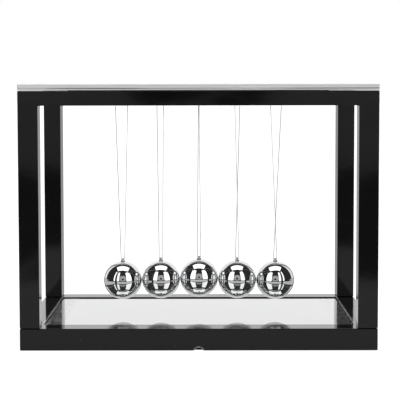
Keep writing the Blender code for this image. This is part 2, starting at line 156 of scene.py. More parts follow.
# The other cards: the middle and the two half-width vectors.
OVERHEAD_CARD = ((0, -0.19, 1.2), (0.62, 0, 0), (0, 0.39, 0))
GREY_WALL_CARD = ((0, -1.3, 0.42), (0.5, 0, 0), (0, 0, 0.42))
DARK_LENS_CARD = ((0, -1.0, 0.2), (0.1, 0, 0), (0, 0, 0.1))
CARD_POINTS = 48
SQUARE_POWER = 0.12
ROUND_POWER = 0.75
FLOOR_REACH = 60.0
TABLE_REACH = 0.34
TABLE_FADE = 0.02
TABLE_BACK = (0.05, 0.15)
TABLE_GLOW = 0.36


# ---------------------------------------------------------------- surfaces


def skin(rings, ends="filled"):
    """Points and faces of the surface through equal closed rings of points, an array of rings by
    points by 3. Its two ends are filled with a face each, or joined to each other."""
    count, around = rings.shape[:2]
    index = np.arange(count * around).reshape(count, around)
    lower, upper = index[:-1], index[1:]
    if ends == "joined":
        lower, upper = index, np.roll(index, -1, axis=0)
    quads = np.stack([lower, np.roll(lower, -1, 1), np.roll(upper, -1, 1), upper], axis=-1)
    faces = quads.reshape(-1, 4).tolist()
    if ends == "filled":
        faces += [index[0][::-1].tolist(), index[-1].tolist()]
    return rings.reshape(-1, 3), faces


def joined(*surfaces):
    """Several surfaces as one."""
    points, faces, start = [], [], 0
    for some_points, some_faces in surfaces:
        points.append(some_points)
        faces += [[start + i for i in face] for face in some_faces]
        start += len(some_points)
    return np.concatenate(points), faces


def moved(surface, place):
    return surface[0] + np.array(place), surface[1]


def lathe(profile, sides):
    """A (radius r, height z) profile turned about Z: x = r cos a, y = r sin a."""
    radius, height = np.array(profile, float).T
    turn = np.linspace(0, 2 * np.pi, sides, endpoint=False)
    x = radius[:, None] * np.cos(turn)
    y = radius[:, None] * np.sin(turn)
    z = np.broadcast_to(height[:, None], x.shape)
    return skin(np.stack([x, y, z], axis=-1))


def rounded_corner(radius, steps=6):
    """(inset, rise) points of a quarter round: inset = r (1 - sin t), rise = r (1 - cos t)."""
    t = np.linspace(0, np.pi / 2, steps)
    return np.stack([radius * (1 - np.sin(t)), radius * (1 - np.cos(t))], axis=-1)


def rectangle_ring(half_x, half_y, radius, height, steps=5):
    """One level outline of a plate: four quarter circles of a radius, joined by straight sides."""
    t = np.linspace(0, np.pi / 2, steps)
    turn = (t[None, :] + np.arange(4)[:, None] * np.pi / 2).ravel()
    sign_x = np.repeat([1, -1, -1, 1], steps)
    sign_y = np.repeat([1, 1, -1, -1], steps)
    x = sign_x * (half_x - radius) + radius * np.cos(turn)
    y = sign_y * (half_y - radius) + radius * np.sin(turn)
    return np.stack([x, y, np.full_like(x, height)], axis=-1)


def plate(levels, centre=(0.0, 0.0)):
    """A stack of rounded rectangles; each level is (half_x, half_y, corner radius, height)."""
    rings = np.stack([rectangle_ring(*level) for level in levels])
    return moved(skin(rings), (*centre, 0.0))


def tube(path, radius, sides, reference, ends="filled"):
    """A round section carried along a path: p + r (cos a * side + sin a * up), where side is
    square to the path and to the reference, and up is square to both."""
    path = np.asarray(path, float)
    if ends == "joined":
        along = np.roll(path, -1, 0) - np.roll(path, 1, 0)
    else:
        along = np.gradient(path, axis=0)
    along /= np.linalg.norm(along, axis=1, keepdims=True)
    side = np.cross(along, np.array(reference, float))
    side /= np.linalg.norm(side, axis=1, keepdims=True)
    up = np.cross(side, along)
    a = np.linspace(0, 2 * np.pi, sides, endpoint=False)[None, :, None]
    rings = path[:, None] + radius * (np.cos(a) * side[:, None] + np.sin(a) * up[:, None])
    return skin(rings, ends)


def in_scene(name, data):
    obj = bpy.data.objects.new(name, data)
    bpy.context.scene.collection.objects.link(obj)
    return obj


def mesh_object(name, surface, smooth_angle=35):
    """An object with merged seams and outward faces, smooth except at edges over an angle."""
    points, faces = surface
    mesh = bpy.data.meshes.new(name)
    mesh.from_pydata(points.tolist(), [], faces)
    shape = bmesh.new()
    shape.from_mesh(mesh)
    bmesh.ops.remove_doubles(shape, verts=shape.verts, dist=SEAM)
    bmesh.ops.recalc_face_normals(shape, faces=shape.faces)
    shape.to_mesh(mesh)
    shape.free()
    mesh.shade_smooth()
    mesh.set_sharp_from_angle(angle=math.radians(smooth_angle))
    return in_scene(name, mesh)


def carve(obj, surfaces, smooth_angle=35):
    """Cuts closed surfaces out of an object."""
    tools = [mesh_object(f"{obj.name}_tool_{i}", s) for i, s in enumerate(surfaces)]
    for tool in tools:
        cut = obj.modifiers.new(tool.name, "BOOLEAN")
        cut.operation = "DIFFERENCE"
        cut.solver = "EXACT"
        cut.object = tool
    bpy.context.view_layer.update()
    graph = bpy.context.evaluated_depsgraph_get()
    mesh = bpy.data.meshes.new_from_object(obj.evaluated_get(graph))
    obj.modifiers.clear()
    obj.data = mesh
    mesh.name = obj.name
    mesh.set_sharp_from_angle(angle=math.radians(smooth_angle))
    for tool in tools:
        bpy.data.objects.remove(tool, do_unlink=True)


def flatten_shading(obj):
    """Gives large faces the say over the normals at a rounded edge, so that flats look flat."""
    weigh = obj.modifiers.new("flat_faces", "WEIGHTED_NORMAL")
    weigh.weight = 50
    weigh.keep_sharp = True


def paint_mesh(mesh, finish):
    mesh.materials.clear()
    mesh.materials.append(finish)


def place_piece(obj, finish, body, node):
    """Gives a piece its finish and its body, and hides the node that it stands for."""
    paint_mesh(obj.data, finish)
    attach(obj, body)
    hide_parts(node)


# ---------------------------------------------------------------- pieces


def rounded_outline(corners, radius, steps=4):
    """A closed outline in X-Z whose corners are arcs. Each arc runs between the two points at
    the radius's distance from the corner, with p = corner + r ((1 - sin t) back + (1 - cos t) on)."""
    corners = np.array(corners, float)
    back = np.roll(corners, 1, 0) - corners
    on = np.roll(corners, -1, 0) - corners
    back /= np.linalg.norm(back, axis=1, keepdims=True)
    on /= np.linalg.norm(on, axis=1, keepdims=True)
    t = np.linspace(0, np.pi / 2, steps)[None, :, None]
    arcs = (1 - np.sin(t)) * back[:, None] + (1 - np.cos(t)) * on[:, None]
    return (corners[:, None] + radius * arcs).reshape(-1, 2)


def arch(side, sign, finish):
    """The inverted U. One outline is carried along Y; at both faces it draws in round the edge by
    inset = r (1 - sin t) while y advances r (1 - cos t), and the draft grows evenly inwards."""
    low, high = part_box(f"{side}_arch")
    outer_y, inner_y = (low[1], high[1]) if sign < 0 else (high[1], low[1])
    depth = abs(outer_y - inner_y)
    edge = rounded_corner(ARCH_EDGE)
    insets = np.concatenate([edge[:, 0], edge[::-1, 0]])
    runs = np.concatenate([edge[:, 1], depth - edge[::-1, 1]])
    under = high[2] + GAP + CAP_HEIGHT - RAIL_HEIGHT
    rings = []
    for inset, run in zip(insets, runs):
        ease = DRAFT * run / depth
        outer, inner = high[0] - ease - inset, high[0] - POST_WIDTH + ease + inset
        foot, top, rail = low[2] - GAP + FOOT_SEAM + inset, high[2] - inset, under + inset
        corners = [
            (-outer, foot),
            (-outer, top),
            (outer, top),
            (outer, foot),
            (inner, foot),
            (inner, rail),
            (-inner, rail),
            (-inner, foot),
        ]
        outline = rounded_outline(corners, ARCH_CORNER)
        y = outer_y - sign * run
        rings.append(np.insert(outline, 1, y, axis=1))
    obj = mesh_object(f"{side}_arch_moulding", skin(np.array(rings)))
    middle = (outer_y + inner_y) / 2
    reach = high[0] - POST_WIDTH - CHANNEL_END
    bed = high[2] - CHANNEL_DEPTH
    levels = [(reach, CHANNEL_WIDTH / 2, CHANNEL_CORNER, z) for z in (bed, high[2] + CAP_HEIGHT)]
    channel = plate(levels, (0.0, middle))
    flare = 2 * HOLE_FLARE - HOLE_RADIUS
    bore = [
        (0, under - FLARE_DEPTH),
        (flare, under - FLARE_DEPTH),
        (HOLE_RADIUS, under + FLARE_DEPTH),
        (HOLE_RADIUS, bed + FLARE_DEPTH),
        (0, bed + FLARE_DEPTH),
    ]
    holes = [moved(lathe(bore, sides=24), (x, middle, 0)) for x in ball_x]
    carve(obj, [channel] + holes)
    flatten_shading(obj)
    place_piece(obj, finish, STAND, f"{side}_arch")


def rail_cap(side, finish):
    """The strip: a tongue, a rounded lip, a half-round groove, and a body with rounded edges."""
    low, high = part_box(f"{side}_rail_cap")
    middle = (low[1] + high[1]) / 2
    half_x, half_y = high[0], (high[1] - low[1]) / 2
    tongue_x = half_x - POST_WIDTH - CHANNEL_END - GAP
    tongue_y = CHANNEL_WIDTH / 2 - GAP
    bottom = high[2] - CAP_HEIGHT

    def level(inset, z):
        return (half_x - inset, half_y - inset, CAP_CORNER - inset * CAP_CORNER_SHRINK, z)

    levels = [(tongue_x, tongue_y, CAP_CORNER, z) for z in (low[2], bottom)]
    lip = rounded_corner(CAP_EDGE / 2, 4)
    levels += [level(inset, bottom + rise) for inset, rise in lip]
    groove = bottom + CAP_LIP
    for t in np.linspace(0, np.pi, 9):
        inset = CAP_GROOVE_DEPTH * math.sin(t)
        levels.append(level(inset, groove + CAP_GROOVE_HEIGHT * (1 - math.cos(t)) / 2))
    top = rounded_corner(CAP_EDGE)[::-1]
    levels += [level(inset, high[2] - rise) for inset, rise in top]
    obj = mesh_object(f"{side}_rail_strip", plate(levels, (0.0, middle)))
    flatten_shading(obj)
    place_piece(obj, finish, STAND, f"{side}_rail_cap")


def mirror(finish):
    """A plate with a ground bevel. Its face sinks a little towards the edges, as cut acrylic
    does: drop = d e^(-inset / l), with d the sag and l its reach."""
    low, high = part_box("mirror_plate")

    def level(inset, z):
        return (high[0] - inset, high[1] - inset, MIRROR_CORNER, z)

    shoulder = high[2] - MIRROR_SAG - MIRROR_BEVEL
    levels = [
        level(MIRROR_EDGE, low[2]),
        level(0, low[2] + MIRROR_EDGE),
        level(0, shoulder - MIRROR_EDGE),
        level(MIRROR_EDGE, shoulder),
    ]
    for inset in MIRROR_STEPS:
        drop = MIRROR_SAG * math.exp(-inset / MIRROR_SAG_REACH)
        levels.append(level(inset, high[2] - drop))
    obj = mesh_object("mirror_glass", plate(levels), smooth_angle=15)
    place_piece(obj, finish, STAND, "mirror_plate")


def foot_pad(corner, finish):
    """A disc with rounded edges and a shallow ring groove in its underside."""
    low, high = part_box(f"foot_pad_{corner}")
    centre = ((low[0] + high[0]) / 2, (low[1] + high[1]) / 2, 0)
    radius = (high[0] - low[0]) / 2
    edge = rounded_corner(PAD_EDGE)
    t = np.linspace(np.pi, 0, 7)
    across = radius * PAD_GROOVE_SHARE + PAD_GROOVE_RADIUS * np.cos(t)
    profile = [(0, 0), *zip(across, PAD_GROOVE_DEPTH * np.sin(t))]
    profile += [(radius - inset, rise) for inset, rise in edge]
    profile += [(radius - inset, high[2] - rise) for inset, rise in edge[::-1]]
    profile += [(0, high[2])]
    obj = mesh_object(f"pad_{corner}", moved(lathe(profile, sides=64), centre))
    place_piece(obj, finish, STAND, f"foot_pad_{corner}")


def ball(number, finish):
    """A sphere, r = R sin t and z = -R cos t, up to the rim of the drilled hole on top."""
    low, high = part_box(f"ball_{number}")
    centre = (ball_x[number - 1], 0, low[2] + BALL_RADIUS)
    last = math.pi - math.asin((BALL_HOLE_RADIUS + BALL_HOLE_EDGE) / BALL_RADIUS)
    t = np.linspace(0, last, 96)
    profile = [(BALL_RADIUS * math.sin(a), -BALL_RADIUS * math.cos(a)) for a in t]
    depth = BALL_RADIUS - BALL_HOLE_DEPTH
    rim = profile[-1][1] - BALL_HOLE_EDGE
    profile += [(BALL_HOLE_RADIUS, rim), (BALL_HOLE_RADIUS, depth), (0, depth)]
    obj = mesh_object(f"steel_ball_{number}", moved(lathe(profile, sides=128), centre), smooth_angle=30)
    place_piece(obj, finish, f"ball_{number}_hung", f"ball_{number}")


def eye(number, finish):
    """A flat tab on a round collar and neck. One outline, round above and square below, is carried
    along X and drawn in round both edges; a hole with a flared rim runs through it."""
    low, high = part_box(f"eye_{number}")
    x, hole_z = ball_x[number - 1], high[2] - EYE_RADIUS
    edge = rounded_corner(EYE_EDGE, 4)
    insets = np.concatenate([edge[:, 0], edge[::-1, 0]])
    runs = np.concatenate([edge[:, 1], EYE_THICK - edge[::-1, 1]])
    turn = np.linspace(0, np.pi, 33)
    half = EYE_THICK / 2
    foot = -EYE_HOLE_RADIUS - EYE_WALL - EYE_COLLAR_HEIGHT / 2
    rings = []
    for inset, run in zip(insets, runs):
        reach = EYE_RADIUS - inset
        y = np.concatenate([reach * np.cos(turn), [-reach, reach]])
        z = hole_z + np.concatenate([reach * np.sin(turn), [foot, foot]])
        rings.append(np.stack([np.full_like(y, x - half + run), y, z], axis=-1))
    obj = mesh_object(f"drilled_eye_{number}", skin(np.array(rings)))
    wide = EYE_HOLE_RADIUS + EYE_HOLE_FLARE
    bore = [
        (0, -2 * half),
        (wide + half, -2 * half),
        (wide, -half),
        (EYE_HOLE_RADIUS, -half + EYE_FLARE_DEPTH),
        (EYE_HOLE_RADIUS, half - EYE_FLARE_DEPTH),
        (wide, half),
        (wide + half, 2 * half),
        (0, 2 * half),
    ]
    points, faces = lathe(bore, sides=32)
    carve(obj, [moved((points[:, [2, 1, 0]], faces), (x, 0, hole_z))])
    top = hole_z - EYE_HOLE_RADIUS - EYE_WALL
    seat = top - EYE_COLLAR_HEIGHT
    neck = [
        (0, low[2]),
        (EYE_NECK_RADIUS - EYE_EDGE, low[2]),
        (EYE_NECK_RADIUS, low[2] + EYE_EDGE),
        (EYE_NECK_RADIUS, seat),
        (EYE_COLLAR_RADIUS - EYE_EDGE / 2, seat - EYE_COLLAR_DISH),
        (EYE_COLLAR_RADIUS, seat + EYE_EDGE / 2),
        *[(EYE_COLLAR_RADIUS - inset, top - rise) for inset, rise in edge[::-1]],
        (0, top),
    ]
    stem = mesh_object(f"stem_{number}", moved(lathe(neck, sides=32), (x, 0, 0)))
    both = bmesh.new()
    both.from_mesh(obj.data)
    both.from_mesh(stem.data)
    both.to_mesh(obj.data)
    both.free()
    bpy.data.objects.remove(stem, do_unlink=True)
    place_piece(obj, finish, f"ball_{number}_hung", f"eye_{number}")


def strand(number, finish):
    """Straight from the front anchor to the eye, through its hole from left to right, and up to
    the rear anchor. Each bend is a quarter circle, start + r (sin t out + (1 - cos t) up), where
    up is the way to the anchor."""
    x, hole_z = ball_x[number - 1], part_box(f"eye_{number}")[1][2] - EYE_RADIUS
    rise = axis_z - hole_z
    reach = math.hypot(anchor_y, rise)
    out = EYE_THICK / 2 + STRAND_GAP + STRAND_RADIUS
    t = np.linspace(0, np.pi / 2, 13)
    share = STRAND_BEND * (1 - np.cos(t)) / reach
    bend = np.stack([out - STRAND_BEND * (1 - np.sin(t)), share * anchor_y, rise * share], axis=-1)
    ease = np.linspace(0, 1, 40)[1:, None]
    run = bend[-1] + (np.array([0, anchor_y, rise]) - bend[-1]) * ease
    rear = np.concatenate([bend, run])
    front = rear[::-1] * (-1, -1, 1)
    path = np.concatenate([front, rear]) + (x, 0, hole_z)
    line = tube(path, STRAND_RADIUS, sides=12, reference=(0, 1, 0))
    obj = mesh_object(f"line_{number}", line, smooth_angle=60)
    place_piece(obj, finish, f"ball_{number}_hung", f"strand_{number}")


def knot(side, number, finish):
    """The tail through the rail, and a trefoil above it: x = sin t + 2 sin 2t,
    y = cos t - 2 cos 2t, z = -sin 3t, drawn small and flat."""
    low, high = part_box(f"knot_{side}_{number}")
    place = ((low[0] + high[0]) / 2, (low[1] + high[1]) / 2, high[2] - KNOT_RADIUS)
    t = np.linspace(0, 2 * np.pi, 96, endpoint=False)
    across = (KNOT_RADIUS - STRAND_RADIUS) / 3
    x = np.sin(t) + 2 * np.sin(2 * t)
    y = np.cos(t) - 2 * np.cos(2 * t)
    z = -np.sin(3 * t)
    loop = np.stack([x, y, z], axis=-1) * across + np.array(place)
    tail = [(place[0], place[1], height) for height in np.linspace(low[2], place[2], 5)]
    bundle = tube(loop, STRAND_RADIUS, sides=10, reference=(0, 0, 1), ends="joined")
    surface = joined(bundle, tube(tail, STRAND_RADIUS, sides=10, reference=(1, 0, 0)))
    obj = mesh_object(f"tied_end_{side}_{number}", surface, smooth_angle=60)
    place_piece(obj, finish, STAND, f"knot_{side}_{number}")


# ---------------------------------------------------------------- materials


def put(tree, kind, settings=(), **inputs):
    """A node with its settings, and its inputs by name, each a value or a socket to link."""
    made = tree.nodes.new(kind)
    for key, value in dict(settings).items():
        setattr(made, key, value)
    for key, value in inputs.items():
        wire(tree, value, made.inputs[key.replace("_", " ")])
    return made


def wire(tree, value, socket):
    if isinstance(value, bpy.types.NodeSocket):
        tree.links.new(value, socket)
    else:
        socket.default_value = value


def sums(tree, operation, first, second=0.0):
    """One step of arithmetic on values or sockets."""
    made = tree.nodes.new("ShaderNodeMath")
    made.operation = operation
    wire(tree, first, made.inputs[0])
    wire(tree, second, made.inputs[1])
    return made.outputs[0]


def between(tree, value, low, high, new_low=0.0, new_high=1.0):
    """A value in one range, taken smoothly to another."""
    made = put(
        tree,
        "ShaderNodeMapRange",
        {"interpolation_type": "SMOOTHSTEP"},
        Value=value,
        From_Min=low,
        From_Max=high,
        To_Min=new_low,
        To_Max=new_high,
    )
    return made.outputs["Result"]


def near(tree, value, middle, half_width, fade):
    """1 where a value is within the half width of its middle, easing to 0 at the fade."""
    off = sums(tree, "ABSOLUTE", sums(tree, "SUBTRACT", value, middle))
    return between(tree, off, half_width, fade, 1.0, 0.0)


def axes(tree, place):
    """The X, Y and Z of a place."""
    made = tree.nodes.new("ShaderNodeSeparateXYZ")
    tree.links.new(place, made.inputs[0])
    return made.outputs


def group(name, inputs, outputs):
    """A node group with float inputs (name, default) and outputs (name, socket type)."""
    tree = bpy.data.node_groups.new(name, "ShaderNodeTree")
    tree.interface.new_socket("Vector", in_out="INPUT", socket_type="NodeSocketVector")
    for key, value in inputs:
        made = tree.interface.new_socket(key, in_out="INPUT", socket_type="NodeSocketFloat")
        made.default_value = value
    for key, kind in outputs:
        tree.interface.new_socket(key, in_out="OUTPUT", socket_type=kind)
    return tree, tree.nodes.new("NodeGroupInput").outputs, tree.nodes.new("NodeGroupOutput").inputs


def handling_group():
    """Wipe marks and dust. Marks are stretched cloud noise; dust is a dot in a few cells."""
    tree, given, result = group(
        "handling_marks",
        [("Mark Size", 20.0), ("Dust Size", 300.0), ("Dust Share", 0.1)],
        [("Marks", "NodeSocketFloat"), ("Dust", "NodeSocketFloat")],
    )
    stretched = put(tree, "ShaderNodeMapping", Vector=given["Vector"])
    stretched.inputs["Scale"].default_value = (0.6, 1.0, 1.7)
    stretched.inputs["Rotation"].default_value = (0.2, 0.5, 0.3)
    cloud = put(
        tree,
        "ShaderNodeTexNoise",
        Vector=stretched.outputs[0],
        Scale=given["Mark Size"],
        Detail=4.0,
        Roughness=0.6,
        Distortion=0.8,
    )
    tree.links.new(between(tree, cloud.outputs[0], 0.48, 0.7), result["Marks"])
    cells = put(tree, "ShaderNodeTexVoronoi", Vector=given["Vector"], Scale=given["Dust Size"])
    dot = between(tree, cells.outputs["Distance"], 0.05, 0.13, 1.0, 0.0)
    chance = tree.nodes.new("ShaderNodeSeparateColor")
    tree.links.new(cells.outputs["Color"], chance.inputs[0])
    chosen = sums(tree, "LESS_THAN", chance.outputs[0], given["Dust Share"])
    tree.links.new(sums(tree, "MULTIPLY", dot, chosen), result["Dust"])
    return tree


def grain_group():
    """Fine lines along X: noise squeezed across them and drawn out along them."""
    tree, given, result = group("drawn_grain", [("Fineness", 2500.0)], [("Grain", "NodeSocketFloat")])
    stretched = put(tree, "ShaderNodeMapping", Vector=given["Vector"])
    stretched.inputs["Scale"].default_value = (0.012, 1.0, 1.0)
    lines = put(
        tree,
        "ShaderNodeTexNoise",
        Vector=stretched.outputs[0],
        Scale=given["Fineness"],
        Detail=3.0,
        Roughness=0.65,
    )
    tree.links.new(between(tree, lines.outputs[0], 0.25, 0.75), result["Grain"])
    return tree


def peel_group():
    """The faint waviness of a moulded or polished surface, as a height."""
    tree, given, result = group("surface_waves", [("Wave Size", 500.0)], [("Height", "NodeSocketFloat")])
    waves = put(
        tree,
        "ShaderNodeTexNoise",
        Vector=given["Vector"],
        Scale=given["Wave Size"],
        Detail=2.0,
        Roughness=0.5,
    )
    tree.links.new(waves.outputs[0], result["Height"])
    return tree


def material(name, **values):
    """A material, its node tree, its shader and its object coordinates."""
    made = bpy.data.materials.new(name)
    made.use_nodes = True
    tree = made.node_tree
    shader = tree.nodes["Principled BSDF"]
    for key, value in values.items():
        shader.inputs[key.replace("_", " ")].default_value = value
    place = tree.nodes.new("ShaderNodeTexCoord").outputs["Object"]
    return made, tree, shader, place


def use(tree, inner, place, **inputs):
    """A shared node group at work in a material, with its inputs by name."""
    made = tree.nodes.new("ShaderNodeGroup")
    made.node_tree = inner
    tree.links.new(place, made.inputs["Vector"])
    for key, value in inputs.items():
        made.inputs[key.replace("_", " ")].default_value = value
    return made.outputs


def tint(tree, amount, plain, marked):
    """A colour between two by a mask; each is a colour or a socket that carries one."""
    mix = put(tree, "ShaderNodeMix", {"data_type": "RGBA"}, Factor=amount)
    for colour, socket in zip((plain, marked), mix.inputs[6:8]):
        wire(tree, (*colour, 1.0) if isinstance(colour, tuple) else colour, socket)
    return mix.outputs[2]


def patches(tree, place, size, least, most=1.0, low=0.3, high=0.6):
    """Cloudy patches that go from a least share to a most where the cloud goes from low to high."""
    return between(tree, use(tree, peel, place, Wave_Size=size)["Height"], low, high, least, most)


def paint(tree, shader, mask, plain, marked):
    wire(tree, tint(tree, mask, plain, marked), shader.inputs["Base Color"])


def gloss(tree, shader, mask, clean, handled):
    wire(tree, between(tree, mask, 0, 1, clean, handled), shader.inputs["Roughness"])


def bump(tree, shader, height, strength, distance):
    """Relief of a height, over a distance in metres."""
    made = put(tree, "ShaderNodeBump", Strength=strength, Distance=distance, Height=height)
    tree.links.new(made.outputs[0], shader.inputs["Normal"])


def gloss_black(name, with_highlights=False):
    """Black moulded plastic: deep gloss, soft wipe marks, a little dust, faint waviness. One with
    highlights also has a pale ring painted round its notch and a pale line painted beside the mirror:
    painted highlights where those edges catch the light."""
    made, tree, shader, place = material(name, IOR=1.42)
    marks = use(tree, handling, place, Mark_Size=22.0, Dust_Size=260.0, Dust_Share=0.05)
    waves = use(tree, peel, place, Wave_Size=260.0)
    gloss(tree, shader, marks["Marks"], clean=0.07, handled=0.15)
    soft = sums(tree, "MULTIPLY", marks["Dust"], 0.12)
    dust_marks_and_highlights = sums(tree, "ADD", soft, sums(tree, "MULTIPLY", marks["Marks"], 0.02))
    if with_highlights:
        # A painted highlight round the notch.
        dust_marks_and_highlights = sums(tree, "ADD", dust_marks_and_highlights, notch_rim_highlight(tree, place))
        # A painted highlight beside the mirror.
        dust_marks_and_highlights = sums(tree, "ADD", dust_marks_and_highlights, rim_highlight_line(tree, place))
    # The pale colour serves the dust and wipe marks and, on the base, the painted highlights.
    paint(tree, shader, dust_marks_and_highlights, plain=(0.0055, 0.0055, 0.006), marked=(0.3, 0.3, 0.29))
    bump(tree, shader, waves["Height"], strength=0.03, distance=0.0002)
    return made


def notch_rim_highlight(tree, place):
    """A painted highlight on the notch's rim: a broken pale ring at a radius about the notch, in X-Z, on
    the front only.
    """
    x, y, z = axes(tree, place)
    up = sums(tree, "SUBTRACT", z, NOTCH_CENTRE)
    square = sums(tree, "ADD", sums(tree, "MULTIPLY", x, x), sums(tree, "MULTIPLY", up, up))
    ring = near(tree, sums(tree, "SQRT", square), NOTCH_HIGHLIGHT_RADIUS, NOTCH_HIGHLIGHT_HALF_WIDTH, NOTCH_HIGHLIGHT_FADE)
    front = sums(tree, "LESS_THAN", y, FRONT_Y)
    share = sums(tree, "MULTIPLY", ring, patches(tree, place, size=900.0, least=0.35))
    return sums(tree, "MULTIPLY", share, front)


def rim_highlight_line(tree, place):
    """A painted highlight: a thin pale line where the side rims meet the mirror, |x| near the rim's
    place.
    """
    x, y, z = axes(tree, place)
    share = near(tree, sums(tree, "ABSOLUTE", x), rim_x, RIM_HIGHLIGHT_HALF_WIDTH, RIM_HIGHLIGHT_FADE)
    inside = sums(tree, "LESS_THAN", sums(tree, "ABSOLUTE", y), rim_y)
    above = sums(tree, "GREATER_THAN", z, rim_z - RIM_HIGHLIGHT_DEPTH)
    for mask in (inside, above, patches(tree, place, size=90.0, least=0.5)):
        share = sums(tree, "MULTIPLY", share, mask)
    return share


def matte_black():
    """Fine spark-eroded mould texture on the bottom cover."""
    made, tree, shader, place = material("matte_black", IOR=1.45)
    fine = use(tree, peel, place, Wave_Size=3200.0)
    marks = use(tree, handling, place, Mark_Size=30.0, Dust_Size=300.0, Dust_Share=0.12)
    wire(tree, between(tree, fine["Height"], 0.3, 0.7, 0.45, 0.65), shader.inputs["Roughness"])
    paint(tree, shader, marks["Marks"], plain=(0.012, 0.012, 0.0125), marked=(0.02, 0.02, 0.021))
    bump(tree, shader, fine["Height"], strength=0.4, distance=0.0001)
    return made


def satin_silver():
    """A silver strip, brushed along its length, with patchy painted shade in its groove."""
    made, tree, shader, place = material("satin_silver", Metallic=0.6, IOR=1.5)
    lines = use(tree, grain, place, Fineness=3000.0)
    marks = use(tree, handling, place, Mark_Size=16.0, Dust_Size=300.0, Dust_Share=0.05)
    gloss(tree, shader, lines["Grain"], clean=0.45, handled=0.6)
    brushed = sums(tree, "MULTIPLY", lines["Grain"], 0.8)
    tone = sums(tree, "ADD", brushed, sums(tree, "MULTIPLY", marks["Marks"], 0.2))
    clean = tint(tree, tone, (0.88, 0.885, 0.89), (0.95, 0.955, 0.96))
    along = axes(tree, place)
    # Painted shade: a dark line painted along the groove, patchy and heavier towards +X.
    groove_shade = near(tree, along["Z"], groove_z, GROOVE_SHADE_HALF_WIDTH, GROOVE_SHADE_FADE)
    cloud = use(tree, peel, place, Wave_Size=14.0)["Height"]
    uneven = sums(tree, "ADD", cloud, sums(tree, "MULTIPLY", along["X"], GROOVE_SHADE_LEAN))
    groove_shade = sums(tree, "MULTIPLY", groove_shade, between(tree, uneven, 0.38, 0.6, 0.15, 0.9))
    paint(tree, shader, groove_shade, clean, (0.1, 0.1, 0.1))
    bump(tree, shader, lines["Grain"], strength=0.12, distance=0.00003)
    return made


def side_dust(tree, place):
    """Dust along the mirror's two side edges, where a cloth doesn't reach. It grows with |x|, is
    broken up by noise and is thinner on the right, and the cut edge itself is fully dull."""
    x = axes(tree, place)["X"]
    off = sums(tree, "SUBTRACT", mirror_x, sums(tree, "ABSOLUTE", x))
    dust = between(tree, off, DUST_FULL, DUST_FROM_EDGE, 1.0, 0.0)
    thinner = between(tree, x, -DUST_SIDES, DUST_SIDES, 1.0, DUST_RIGHT_SHARE)
    specks = patches(tree, place, size=700.0, least=0.3, low=0.4)
    for mask in (thinner, specks):
        dust = sums(tree, "MULTIPLY", dust, mask)
    edge = between(tree, off, CUT_EDGE_FULL, CUT_EDGE_WIDTH, 1.0, 0.0)
    return sums(tree, "MAXIMUM", dust, edge)


def mirror_glass():
    """Silvered glass with the slightest haze from handling, and dust along its sides."""
    made, tree, shader, place = material("mirror_glass", IOR=1.5)
    marks = use(tree, handling, place, Mark_Size=14.0, Dust_Size=220.0, Dust_Share=0.06)
    dull = sums(tree, "MULTIPLY", side_dust(tree, place), DUST_DULLING)
    rough = between(tree, marks["Marks"], 0, 1, 0.012, 0.05)
    wire(tree, sums(tree, "ADD", rough, dull), shader.inputs["Roughness"])
    haze = sums(tree, "MAXIMUM", marks["Marks"], marks["Dust"])
    clear = between(tree, haze, 0, 1, 0.94, 0.88)
    wire(tree, sums(tree, "SUBTRACT", clear, dull), shader.inputs["Metallic"])
    paint(tree, shader, marks["Marks"], plain=(0.68, 0.683, 0.685), marked=(0.66, 0.663, 0.665))
    return made


def polished_steel():
    """Mirror-polished balls, with faint finger marks in their tone and gloss."""
    made, tree, shader, place = material("polished_steel", Metallic=1.0)
    marks = use(tree, handling, place, Mark_Size=120.0, Dust_Size=500.0, Dust_Share=0.04)
    waves = use(tree, peel, place, Wave_Size=700.0)
    gloss(tree, shader, marks["Marks"], clean=0.015, handled=0.05)
    paint(tree, shader, marks["Marks"], plain=(0.76, 0.765, 0.77), marked=(0.72, 0.725, 0.73))
    bump(tree, shader, waves["Height"], strength=0.01, distance=0.00005)
    return made


def small_steel(name, handled, clean, rough):
    """Turned or plated steel, its tone and gloss uneven from handling."""
    made, tree, shader, place = material(name, Metallic=1.0)
    marks = use(tree, handling, place, Mark_Size=400.0, Dust_Size=900.0, Dust_Share=0.1)
    gloss(tree, shader, marks["Marks"], rough, rough + 0.15)
    paint(tree, shader, marks["Marks"], clean, handled)
    return made


def nylon_line():
    """Clear line, a little cloudy along its length."""
    made, tree, shader, place = material("nylon_line", IOR=1.5, Transmission_Weight=0.15)
    marks = use(tree, handling, place, Mark_Size=90.0, Dust_Size=900.0, Dust_Share=0.05)
    gloss(tree, shader, marks["Marks"], clean=0.5, handled=0.6)
    paint(tree, shader, marks["Marks"], plain=(0.93, 0.935, 0.94), marked=(0.88, 0.885, 0.89))
    return made


def soft_stuff(name, plain, marked, rough, size):
    """Rubber or foam: matt, with a fine open texture."""
    made, tree, shader, place = material(name, Roughness=rough)
    fine = use(tree, peel, place, Wave_Size=size)
    paint(tree, shader, fine["Height"], plain, marked)
    bump(tree, shader, fine["Height"], strength=0.5, distance=0.0001)
    return made


# ---------------------------------------------------------------- studio


def camera():
    """In front and a little above, turned about Z, then tipped down, then rolled."""
    data = bpy.data.cameras.new("camera")
    data.lens = CAMERA_LENS
    data.sensor_width = CAMERA_SENSOR
    data.clip_start = CLIP_START
    data.clip_end = CLIP_END
    obj = in_scene("camera", data)
    turn = Matrix.Rotation(math.radians(-CAMERA_YAW), 4, "Z")
    turn = turn @ Matrix.Rotation(math.radians(90 - CAMERA_PITCH), 4, "X")
    turn = turn @ Matrix.Rotation(math.radians(CAMERA_ROLL), 4, "Z")
    obj.matrix_world = Matrix.Translation(CAMERA_PLACE) @ turn
    bpy.context.scene.camera = obj


def sheet(name, corners):
    """A flat piece of the studio with one face."""
    mesh = bpy.data.meshes.new(name)
    mesh.from_pydata(corners, [], [tuple(range(len(corners)))])
    return in_scene(name, mesh)


